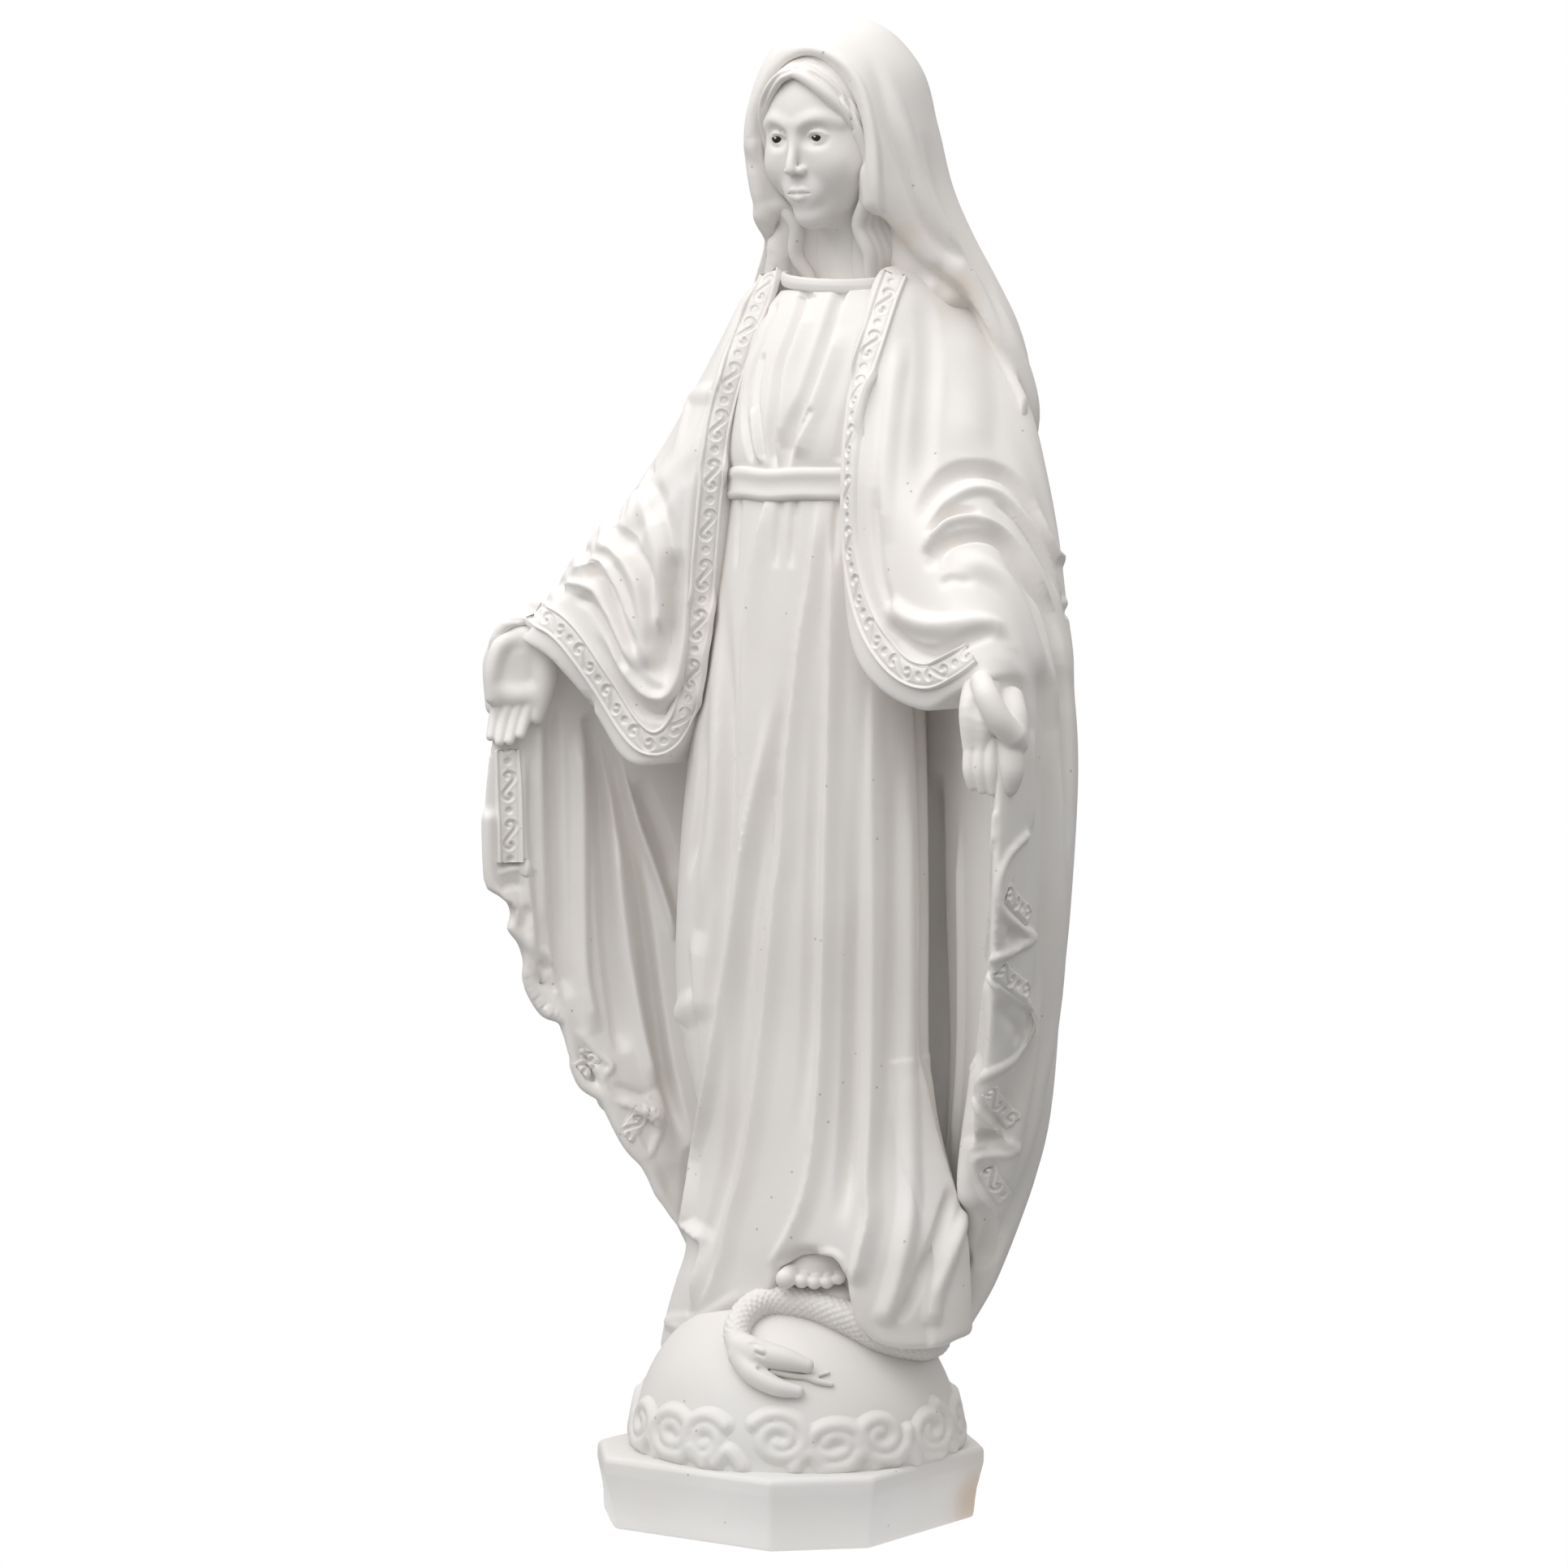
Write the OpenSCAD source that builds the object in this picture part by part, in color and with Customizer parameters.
// Standing figure of a veiled woman on a half globe, in white cast stone.
// The origin is the middle of the plinth's underside. The figure faces -Y and +Z is up.

/* [Plinth] */
// Width of the plinth's underside, along X
plinth_w = 65; // [62:0.5:68]
// Depth of the plinth's underside, along Y
plinth_d = 64; // [61:0.5:67]
// Length cut off each corner of the plinth
plinth_cut = 13.5; // [10:0.5:16]
// How far the plinth's lip stands out past its underside
plinth_flare = 2.25; // [1:0.25:3]
// Height of the plinth
plinth_h = 14.7; // [13:0.1:16]

/* [Globe] */
// Radius of the half globe
globe_r = 33; // [32:0.25:33.5]
// Number of curls in the ring round the globe's foot
curl_count = 14; // [12:1:16]
// Thickness of a curl's raised rim
curl_rim = 2.6; // [2:0.1:3]

/* [Serpent] */
// Thickness of the serpent's body
serpent_d = 5.6; // [5:0.1:6]

/* [Dress] */
// Number of pleats round the skirt
pleat_count = 15; // [12:1:18]
// Depth of the skirt's pleats
pleat_depth = 0.9; // [0.5:0.1:1.2]
// Height of the belt
belt_h = 5; // [4:0.5:6]
// Width of the embroidered borders
border_w = 5.6; // [5:0.1:6]
// How far a border reaches through the mantle's edge
border_t = 3; // [2.6:0.1:3.4]

/* [Pins] */
// Radius of the dowel between the globe and the figure
dowel_r = 4; // [3:0.5:5]
// Radius of the round pegs at the neck and waist
peg_r = 5; // [4:0.5:6]
// Radius of the wrist pegs
wrist_peg_r = 2.6; // [2:0.2:3]

/* [Hidden] */

CAST_WHITE = [0.87, 0.86, 0.84];
CAST_LIGHT = [0.93, 0.92, 0.90];
CAST_SHADE = [0.80, 0.78, 0.75];
EYE_BLACK = [0.05, 0.035, 0.03];

globe_at = [1.4, 1.6, plinth_h];
globe_top = plinth_h + globe_r;
skirt_top = 204;
bodice_foot = skirt_top + belt_h;
bodice_top = 245;
neck_at = [4.5, 12.5];
head_at = [4.5, 9.5, 277];
hem_z = 156;
waist_at = [3.5, 6];
belt_r = 19.8;
belt_squash = 0.76;
globe_peg_r = 10;
dowel_in_globe = 10;
fall_back_y = 14;

// The skirt, from its hem up: height, centre x and y, half width, half depth
SKIRT = [
    [36, 3, 1.5, 33, 16], [46, 3.5, 1.5, 31.5, 17], [60, 4, 2, 28.5, 17.5],
    [78, 3.5, 3, 25, 17.5], [100, 2.5, 4, 26, 18], [125, 2.5, 4, 26, 18],
    [157, 3.5, 4.5, 24.5, 17], [190, 3.5, 5.5, 21, 15.5], [skirt_top, 3.5, 6, 19, 14.5]
];
// The bodice, from the belt to the neckline, in the same terms
BODICE = [
    [bodice_foot, 3.5, 6, 18.5, 14], [218, 3.7, 6, 19.5, 14.5], [230, 4, 8, 18, 13.5],
    [240, 4.3, 10.5, 15, 11], [bodice_top, 4.5, 12, 11, 8.5]
];
// The mantle's outline at each height, for one side of its centre line: height, centre x,
// then front inner, front middle, edge, widest side, back corner (x, y), and back y.
// Below the sleeves the front inner point is where the wing meets the skirt.
MANTLE = [
    [35, 0.5, [19, 19], [25, 18], [28.5, 17], [31, 19], [27, 22.5], 27],
    [46, 0.5, [21, 17], [28, 16], [33, 14], [38, 18], [31, 23], 29],
    [60, 0.5, [22, 15], [31, 13], [36.5, 10.5], [44.5, 15], [39, 23], 30],
    [78, 0.5, [22, 12], [38, 5], [43.5, 0.5], [52, 11], [46.5, 22], 31],
    [100, 0.5, [22, 10], [46, -1], [52.5, -7], [57, 7], [50.5, 21], 32],
    [127, -1, [22, 8], [54, -11], [62.5, -18.5], [64.5, -3], [56, 19], 33],
    [155, -1, [22, 6], [54, -11], [62.5, -19], [65, -3], [56.5, 20], 33],
    [hem_z, -1, [22, -12], [42, -15], [62, -19], [65, -3], [56.5, 20], 33],
    [172, 1, [20, -11.5], [40, -17], [59, -18], [61, -3], [53, 22], 34],
    [184, 2.5, [18.5, -10], [36, -15], [50, -15], [55.5, -2], [49, 23], 34],
    [196, 3, [17, -9], [31, -12], [42, -10], [49, 2], [46, 24], 34],
    [209, 3.5, [16.5, -8.5], [26, -9], [33, -4], [41.5, 6], [41, 24], 33.5],
    [222, 4, [15.5, -6], [21, -5], [27.5, -1], [34.5, 8.5], [33.5, 24], 32],
    [234, 4, [14, -1], [18.5, -1], [23, 3], [28, 10], [26.5, 24], 30],
    [244, 4, [12, 4], [16.5, 4.5], [20, 7], [23, 12], [20, 22.5], 27],
    [250, 4, [8, 8], [11, 8], [14, 10], [16, 13], [13, 20], 23]
];
// Depth at which the mantle's front dips behind the dress, on the centre line
mantle_dip_y = 12;
// The veil: height, centre x and y, half width, half depth
VEIL = [
    [216, 4, 27.5, 36, 5], [224, 4, 26, 38, 9], [234, 4.5, 23.5, 33, 12.5],
    [246, 4.2, 20.5, 28.5, 14.5], [256, 6.5, 17.5, 22, 16.5], [266, 5.8, 14, 19.6, 19.2],
    [278, 4.6, 12.5, 18.8, 19.5], [288, 4.5, 12.5, 16.2, 17], [295, 4.5, 12, 11.6, 12.5],
    [298.6, 4.5, 12, 6.5, 7], [300, 4.5, 12, 1.5, 1.5]
];
// The serpent over the globe: direction round Z and height angle, from tail to snout
SERPENT = [
    [118, 12], [100, 24], [78, 31], [52, 34], [30, 35], [14, 42], [3, 49], [-15, 63],
    [-42, 67], [-70, 66], [-86, 57], [-87, 45], [-79, 36], [-68, 31], [-54, 30]
];
// The serpent's thickness at each of those points, as a part of its full thickness
SERPENT_TAPER = [0.2, 0.5, 0.75, 0.9, 1, 1, 1, 1, 1, 0.95, 0.8, 0.7, 0.75, 0.95, 0.45];
// The borders' middle lines, from the neck to the wrist
LEFT_LINE = [
    [19.5, 7.5, 247], [21, -1, 234], [21, -7, 221], [21.5, -9.5, 205], [22, -10, 191],
    [26, -12, 178], [34, -15, 169], [43, -17.5, 165], [52, -19.5, 169], [60, -19.5, 171]
];
RIGHT_LINE = [
    [-10.5, 8.5, 247], [-11.5, 0.5, 234], [-13, -5.5, 219], [-14, -8, 205], [-15, -8.5, 191],
    [-17, -9.5, 178], [-20, -11, 165], [-26, -13, 157], [-36, -15, 164], [-46, -17, 173],
    [-56, -18, 176]
];
LEFT_WRIST = [59, -15, 171];
RIGHT_WRIST = [-56, -15, 174];

// Smooth curve through points p, with n steps between neighbours
function between(a, b, c, d, t) =
    0.5 * (2 * b + (c - a) * t + (2 * a - 5 * b + 4 * c - d) * t * t
        + (3 * b - a - 3 * c + d) * t * t * t);
function curve(p, n) = concat([
    for (i = [0 : len(p) - 2], k = [0 : n - 1])
        between(p[max(i - 1, 0)], p[i], p[i + 1], p[min(i + 2, len(p) - 1)], k / n)
], [p[len(p) - 1]]);

function but_last(p) = [for (i = [0 : len(p) - 2]) p[i]];

// A closed solid through rings of equal length, each a list of points
module loft(rings) {
    n = len(rings[0]);
    m = len(rings);
    points = [for (r = rings, p = r) p];
    sides = [
        for (i = [0 : m - 2], j = [0 : n - 1])
            [i * n + j, (i + 1) * n + j, (i + 1) * n + (j + 1) % n, i * n + (j + 1) % n]
    ];
    low = [for (j = [0 : n - 1]) j];
    high = [for (j = [n - 1 : -1 : 0]) (m - 1) * n + j];
    polyhedron(points, concat(sides, [low, high]), convexity = 10);
}

// Rings of a pleated oval column from rows of height, centre and half sizes
function oval_ring(row, n, pleats, depth) = [
    for (j = [0 : n - 1])
        let (a = 360 * j / n, r = 1 + depth * cos(pleats * a) / row[3])
        [row[1] + row[3] * r * cos(a), row[2] + row[4] * r * sin(a), row[0]]
];
function oval_rings(rows, n, pleats = 0, depth = 0) =
    [for (row = rows) oval_ring(row, n, pleats, depth)];

// A tube along points, with a radius at each
function unit(v) = v / norm(v);
function tube_ring(p, q, r, n) =
    let (along = unit(q), side = unit(cross(along, [0.13, 0.21, 1])), up = cross(along, side))
    [for (j = [0 : n - 1]) p + r * (side * cos(360 * j / n) + up * sin(360 * j / n))];
module tube(path, radii, n = 8) {
    last = len(path) - 1;
    loft([
        for (i = [0 : last])
            tube_ring(path[i], path[min(i + 1, last)] - path[max(i - 1, 0)], radii[i], n)
    ]);
}

// Takes everything drawn in it as one mesh
module as_mesh() {
    resize([0, 0, 0]) children();
}

module plinth_outline(grow) {
    w = plinth_w / 2 + grow;
    d = plinth_d / 2 + grow;
    c = plinth_cut + 0.3 * grow;
    polygon([
        [w, d - c], [w - c, d], [c - w, d], [-w, d - c],
        [-w, c - d], [c - w, -d], [w - c, -d], [w, c - d]
    ]);
}

module plinth() {
    lip_h = 3.5;
    color(CAST_WHITE) difference() {
        union() {
            hull() {
                linear_extrude(0.5) plinth_outline(0);
                translate([0, 0, plinth_h - lip_h]) linear_extrude(0.01)
                    plinth_outline(0.8 * plinth_flare);
            }
            translate([0, 0, plinth_h - lip_h]) linear_extrude(lip_h)
                plinth_outline(plinth_flare);
        }
        globe_peg(5);
    }
}

// The round peg under the globe, which sits in the plinth
module globe_peg(h) {
    translate([globe_at[0], globe_at[1], plinth_h - 4]) cylinder(r = globe_peg_r, h = h, $fn = 64);
}

module globe() {
    color(CAST_WHITE) difference() {
        union() {
            intersection() {
                translate(globe_at) sphere(globe_r, $fn = 96);
                translate([-50, -50, plinth_h]) cube([100, 100, 50]);
            }
            globe_peg(6);
        }
        translate([globe_at[0], globe_at[1], globe_top - dowel_in_globe])
            cylinder(r = dowel_r, h = dowel_in_globe + 2, $fn = 48);
    }
}

module globe_shape() {
    translate(globe_at) sphere(globe_r + 0.1, $fn = 40);
}

module figure_dowel() {
    color(CAST_SHADE) translate([globe_at[0], globe_at[1], globe_top - dowel_in_globe])
        cylinder(r = dowel_r, h = 26, $fn = 48);
}

// One curl: a ring lying on the globe's foot, with a raised eye in every other one
module curl(i) {
    turn = 360 * i / curl_count;
    size = 4.6 + 0.7 * cos(turn * 3);
    translate(globe_at) rotate([0, 0, turn]) rotate([0, 78 - 4 * sin(turn * 2), 0])
        translate([0, 0, globe_r]) {
            rotate_extrude($fn = 12) translate([size - curl_rim / 2, 0])
                circle(d = curl_rim, $fn = 6);
            if (i % 2 == 0) sphere(1.5, $fn = 6);
        }
}

module cloud_scrolls() {
    color(CAST_LIGHT) as_mesh() difference() {
        union() {
            for (i = [0 : curl_count - 1]) curl(i);
            translate([globe_at[0], globe_at[1], plinth_h]) cylinder(r = globe_r + 1, h = 1.2, $fn = 40);
        }
        globe_shape();
        translate([-50, -50, -10]) cube([100, 100, 10 + plinth_h]);
    }
}

function on_globe(p, grow) = globe_at + (globe_r + grow) * [
    cos(p[1]) * cos(p[0]), cos(p[1]) * sin(p[0]), sin(p[1])
];
serpent_lift = 0.3 * serpent_d;
serpent_path = [for (p = curve(SERPENT, 2)) on_globe(p, serpent_lift)];
serpent_radii = [for (t = curve(SERPENT_TAPER, 2)) t * serpent_d / 2];
snout = serpent_path[len(serpent_path) - 1];

module serpent_shape() {
    tube(serpent_path, serpent_radii);
}

// The open mouth: an upper and a lower jaw that part towards the snout
module jaws_shape() {
    for (jaw = [1, -1]) hull() {
        translate(snout + [-3, -1.5, 0.9 * jaw]) sphere(2, $fn = 12);
        translate(snout + [2, 1, -0.5 + 1.7 * jaw]) sphere(0.7, $fn = 8);
    }
}

module serpent() {
    color(CAST_WHITE) as_mesh() difference() {
        union() {
            serpent_shape();
            jaws_shape();
        }
        globe_shape();
    }
}

module serpent_tongue() {
    root = snout + [0.2, 0, -0.7];
    color(CAST_LIGHT) as_mesh() difference() {
        for (fork = [0, -1.4])
            tube([root, snout + [3, 2, -2], snout + [5, 3.5, -3.2 + fork]], [0.7, 0.6, 0.35], 6);
        globe_shape();
        jaws_shape();
        serpent_shape();
    }
}

module foot_shape() {
    hull() {
        translate([11, -4, 49]) sphere(4.5, $fn = 12);
        translate([15, -13, 48]) scale([1.3, 0.8, 0.6]) sphere(4, $fn = 12);
    }
    for (i = [0 : 4]) translate([11 + 2.1 * i, -16.4 + 0.5 * i * i, 47.8 - 0.2 * i])
        scale([1, 2.1, 1]) sphere(1.5 - 0.1 * i, $fn = 8);
}

module foot() {
    color(CAST_WHITE) as_mesh() difference() {
        foot_shape();
        globe_shape();
        serpent_shape();
        figure_dowel();
    }
}

module skirt_shape() {
    loft(oval_rings(SKIRT, 4 * pleat_count, pleat_count, pleat_depth));
}

module gown_skirt() {
    color(CAST_WHITE) as_mesh() difference() {
        union() {
            skirt_shape();
            translate([waist_at[0], waist_at[1], skirt_top - 1])
                cylinder(r = peg_r, h = belt_h + 7, $fn = 32);
        }
        globe_shape();
        serpent_shape();
        foot_shape();
        figure_dowel();
        translate([14, -16, 50]) scale([6, 8, 9]) sphere(1, $fn = 16);
    }
}

module belt() {
    color(CAST_LIGHT) difference() {
        translate([waist_at[0], waist_at[1], skirt_top]) scale([1, belt_squash, 1])
            cylinder(r = belt_r, h = belt_h, $fn = 96);
        translate([waist_at[0], waist_at[1], skirt_top - 1])
            cylinder(r = peg_r, h = belt_h + 2, $fn = 48);
    }
}

module bodice_shape() {
    loft(oval_rings(BODICE, 44, 11, 0.35));
}

module gown_bodice() {
    color(CAST_WHITE) as_mesh() difference() {
        bodice_shape();
        translate([waist_at[0], waist_at[1], bodice_foot - 1])
            cylinder(r = peg_r, h = 8, $fn = 32);
        neck_shape();
    }
}

module collar() {
    color(CAST_LIGHT) as_mesh() difference() {
        translate([neck_at[0], neck_at[1], bodice_top]) scale([1, 0.85, 1])
            rotate_extrude($fn = 28) translate([9.3, 0.8]) scale([0.8, 1]) circle(1.8, $fn = 8);
        bodice_shape();
        neck_shape();
    }
}

// Neck, rising from its peg in the bodice to the head
module neck_shape() {
    loft(oval_rings([
        [bodice_top - 7, neck_at[0], neck_at[1], peg_r, peg_r],
        [bodice_top, neck_at[0], neck_at[1], 8.2, 7],
        [253, 4.5, 12, 6.6, 6.4], [266, 4.5, 10.5, 6.6, 6.6]
    ], 20));
}

module skull_shape() {
    translate(head_at) scale([0.82, 0.98, 1]) sphere(15, $fn = 24);
    hull() {
        translate(head_at + [0, -6, -3]) scale([1.25, 0.9, 1]) sphere(8, $fn = 16);
        translate(head_at + [0, -8.5, -14]) scale([1.3, 1, 1]) sphere(3.6, $fn = 12);
    }
    translate(head_at + [0, -14.3, -4.5]) scale([0.55, 0.8, 1.2]) sphere(3, $fn = 8);
}

module head() {
    color(CAST_WHITE) as_mesh() difference() {
        union() {
            skull_shape();
            neck_shape();
        }
        eyes_shape();
    }
}

module eyes_shape() {
    for (side = [1, -1]) translate(head_at + [5 * side, -12, -0.5]) sphere(1.6, $fn = 8);
}

module eyes() {
    color(EYE_BLACK) eyes_shape();
}

module hair_shape() {
    difference() {
        translate(head_at + [0, 1.5, 1]) scale([0.95, 1.02, 1.02]) sphere(16, $fn = 24);
        translate(head_at + [0, -16, -8]) scale([0.86, 1, 1.35]) sphere(12, $fn = 20);
    }
    for (side = [1, -1])
        tube([
            head_at + [12 * side, -6, -4], head_at + [10.5 * side, -4, -13],
            head_at + [9.5 * side, -3, -21], head_at + [12 * side, -5.5, -29]
        ], [3.2, 3, 2.6, 1.4], 8);
}

module hair() {
    color(CAST_LIGHT) as_mesh() difference() {
        hair_shape();
        skull_shape();
        neck_shape();
        bodice_shape();
        collar_space();
    }
}

module collar_space() {
    translate([neck_at[0], neck_at[1], bodice_top - 1]) scale([1, 0.85, 1])
        cylinder(r = 11, h = 3.8, $fn = 28);
}

module veil_shape() {
    loft(oval_rings(VEIL, 36));
}

// The open front of the veil: an arch round the face, widening downwards
module veil_opening() {
    loft(oval_rings([
        [200, 4.5, -6, 30, 34], [232, 4.5, -4, 25, 27], [246, 4.5, -5, 18, 20],
        [262, 4.5, -8, 13, 14], [282, 4.5, -9, 12.2, 14], [291, 4.5, -10, 8, 10]
    ], 24));
}

module veil() {
    color(CAST_WHITE) as_mesh() difference() {
        veil_shape();
        veil_opening();
        hair_shape();
        skull_shape();
        neck_shape();
        mantle_shape();
        bodice_shape();
    }
}

// One side of the mantle's outline, from the front centre to the back centre
function mantle_half(row, side) = [
    for (p = [row[2], row[3], row[4], row[5], row[6]]) [row[1] + side * p[0], p[1], row[0]]
];
function mantle_ring(row) =
    let (
        right = mantle_half(row, 1),
        left = mantle_half(row, -1),
        back = [row[1], row[7], row[0]],
        dip = [row[1], mantle_dip_y, row[0]],
        shape = concat([dip], right, [back], [for (i = [4 : -1 : 0]) left[i]], [dip])
    )
    but_last(curve(shape, 3));

module mantle_shape() {
    loft([for (row = MANTLE) mantle_ring(row)]);
}

module figure_inside() {
    skirt_shape();
    bodice_shape();
    neck_shape();
    translate([waist_at[0], waist_at[1], skirt_top - 0.2]) scale([1, belt_squash, 1])
        cylinder(r = belt_r, h = belt_h + 0.4, $fn = 48);
}

// The part of the mantle inside a block from the low to the high corner
module mantle_part(low, high) {
    color(CAST_WHITE) as_mesh() difference() {
        intersection() {
            mantle_shape();
            translate(low) cube(high - low);
        }
        figure_inside();
        collar_space();
        globe_shape();
        serpent_shape();
        border_shape(LEFT_LINE);
        border_shape(RIGHT_LINE);
        hand_shape(LEFT_WRIST, 1);
        hand_shape(RIGHT_WRIST, -1);
        hair_shape();
    }
}

module mantle_back() {
    mantle_part([-80, fall_back_y, 30], [80, 50, 260]);
}

module mantle_left_front() {
    mantle_part([4, -40, hem_z], [80, fall_back_y, 260]);
}

module mantle_right_front() {
    mantle_part([-80, -40, hem_z], [4, fall_back_y, 260]);
}

module mantle_left_fall() {
    mantle_part([4, -40, 30], [80, fall_back_y, hem_z]);
}

module mantle_right_fall() {
    mantle_part([-80, -40, 30], [4, fall_back_y, hem_z]);
}

// A flat strip along a line, standing upright in the cloth's edge
function strip_ring(p, q) =
    let (
        along = unit(q),
        out = unit(cross(along, cross([0.1, -1, 0.35], along))),
        side = cross(along, out)
    )
    [
        for (k = [[1, 1], [1, -1], [-1, -1], [-1, 1]])
            p + side * k[0] * border_w / 2 + out * k[1] * border_t / 2
    ];
module border_shape(line) {
    path = curve(line, 3);
    last = len(path) - 1;
    loft([
        for (i = [0 : last])
            strip_ring(path[i], path[min(i + 1, last)] - path[max(i - 1, 0)])
    ]);
}

module border(line) {
    color(CAST_LIGHT) as_mesh() difference() {
        border_shape(line);
        figure_inside();
        collar_space();
        hair_shape();
        hand_shape(LEFT_WRIST, 1);
        hand_shape(RIGHT_WRIST, -1);
    }
}

module left_border() {
    border(LEFT_LINE);
}

module right_border() {
    border(RIGHT_LINE);
}

// An open hand hanging from its wrist, palm to the front; side is 1 for the left hand
module hand_shape(wrist, side) {
    translate(wrist) {
        translate([0, 12, 2]) rotate([90, 0, 0]) cylinder(r = wrist_peg_r, h = 10, $fn = 20);
        hull() {
            translate([0, 1, 1]) sphere(4, $fn = 10);
            translate([side * 1, -0.5, -10]) scale([1, 0.55, 1.1]) sphere(5.6, $fn = 10);
        }
        for (i = [0 : 3]) hull() {
            translate([side * (4 - 2.6 * i), -0.5, -13]) sphere(1.7, $fn = 8);
            translate([side * (3.4 - 2.2 * i), -3, -23 - 2 * sin(60 * i)]) sphere(1.3, $fn = 6);
        }
        hull() {
            translate([-side * 4.4, -1, -6]) sphere(2.2, $fn = 8);
            translate([-side * 6.4, -4, -15]) sphere(1.5, $fn = 6);
        }
    }
}

module hand(wrist, side) {
    color(CAST_LIGHT) as_mesh() hand_shape(wrist, side);
}

module left_hand() {
    hand(LEFT_WRIST, 1);
}

module right_hand() {
    hand(RIGHT_WRIST, -1);
}

plinth();
globe();
cloud_scrolls();
serpent();
serpent_tongue();
figure_dowel();
foot();
gown_skirt();
belt();
gown_bodice();
collar();
head();
hair();
eyes();
veil();
mantle_back();
mantle_left_front();
mantle_right_front();
mantle_left_fall();
mantle_right_fall();
left_border();
right_border();
left_hand();
right_hand();
